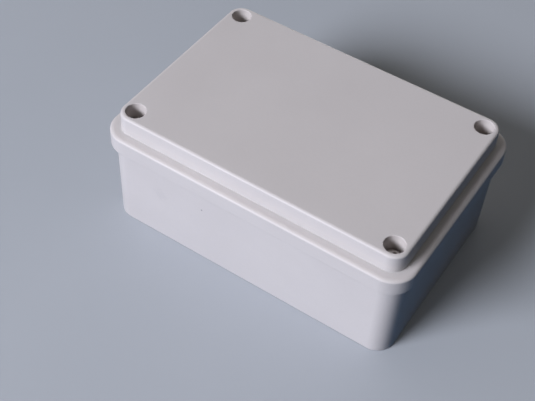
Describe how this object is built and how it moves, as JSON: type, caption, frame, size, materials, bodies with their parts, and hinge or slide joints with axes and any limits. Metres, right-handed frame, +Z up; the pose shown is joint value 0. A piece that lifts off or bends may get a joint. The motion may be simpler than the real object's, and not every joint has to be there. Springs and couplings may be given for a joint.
{
  "type": "composite junction box",
  "caption": "Rectangular moulded junction box with rounded corners, a gasketed lid with an overlapping skirt and raised plateau, and captive lid screws in corner wells.",
  "frame": {"origin": "centre of the base's underside", "axes": "+X along the length, +Y across the width towards the back, +Z up through the lid"},
  "size_m": [0.125, 0.0862, 0.0508],
  "materials": {
    "shell": "satin moulded resin, pale grey",
    "gasket_foam": "matt closed-cell foam rubber",
    "screw_steel": "zinc-plated steel",
    "seal_rubber": "smooth black rubber",
    "insert_brass": "turned and knurled brass"
  },
  "bodies": {
    "base": {"base": "shell", "threaded_insert_front_left": "insert_brass", "threaded_insert_front_right": "insert_brass", "threaded_insert_back_left": "insert_brass", "threaded_insert_back_right": "insert_brass"},
    "lid": {"lid": "shell", "gasket": "gasket_foam"},
    "seal_front_left": {"screw_seal_front_left": "seal_rubber"},
    "screw_front_left": {"lid_screw_front_left": "screw_steel"},
    "seal_front_right": {"screw_seal_front_right": "seal_rubber"},
    "screw_front_right": {"lid_screw_front_right": "screw_steel"},
    "seal_back_left": {"screw_seal_back_left": "seal_rubber"},
    "screw_back_left": {"lid_screw_back_left": "screw_steel"},
    "seal_back_right": {"screw_seal_back_right": "seal_rubber"},
    "screw_back_right": {"lid_screw_back_right": "screw_steel"}
  },
  "joints": [
    {"name": "lid_lift", "type": "slide", "parent": "base", "child": "lid", "axis": [0, 0, 1], "range_m": [0, 0.06]},
    {"name": "screw_rise_front_left", "type": "slide", "parent": "lid", "child": "seal_front_left", "axis": [0, 0, 1], "range_m": [0, 0.006]},
    {"name": "screw_turn_front_left", "type": "hinge", "parent": "seal_front_left", "child": "screw_front_left", "pos_m": [-0.0528, -0.0334, 0.0422], "axis": [0, 0, 1], "range_deg": [0, 3086]},
    {"name": "screw_rise_front_right", "type": "slide", "parent": "lid", "child": "seal_front_right", "axis": [0, 0, 1], "range_m": [0, 0.006]},
    {"name": "screw_turn_front_right", "type": "hinge", "parent": "seal_front_right", "child": "screw_front_right", "pos_m": [0.0528, -0.0334, 0.0422], "axis": [0, 0, 1], "range_deg": [0, 3086]},
    {"name": "screw_rise_back_left", "type": "slide", "parent": "lid", "child": "seal_back_left", "axis": [0, 0, 1], "range_m": [0, 0.006]},
    {"name": "screw_turn_back_left", "type": "hinge", "parent": "seal_back_left", "child": "screw_back_left", "pos_m": [-0.0528, 0.0334, 0.0422], "axis": [0, 0, 1], "range_deg": [0, 3086]},
    {"name": "screw_rise_back_right", "type": "slide", "parent": "lid", "child": "seal_back_right", "axis": [0, 0, 1], "range_m": [0, 0.006]},
    {"name": "screw_turn_back_right", "type": "hinge", "parent": "seal_back_right", "child": "screw_back_right", "pos_m": [0.0528, 0.0334, 0.0422], "axis": [0, 0, 1], "range_deg": [0, 3086]}
  ],
  "couplings": [
    {"joint": "screw_turn_front_left", "follows": "screw_rise_front_left", "rad_per_m": 8976},
    {"joint": "screw_turn_front_right", "follows": "screw_rise_front_right", "rad_per_m": 8976},
    {"joint": "screw_turn_back_left", "follows": "screw_rise_back_left", "rad_per_m": 8976},
    {"joint": "screw_turn_back_right", "follows": "screw_rise_back_right", "rad_per_m": 8976}
  ]
}
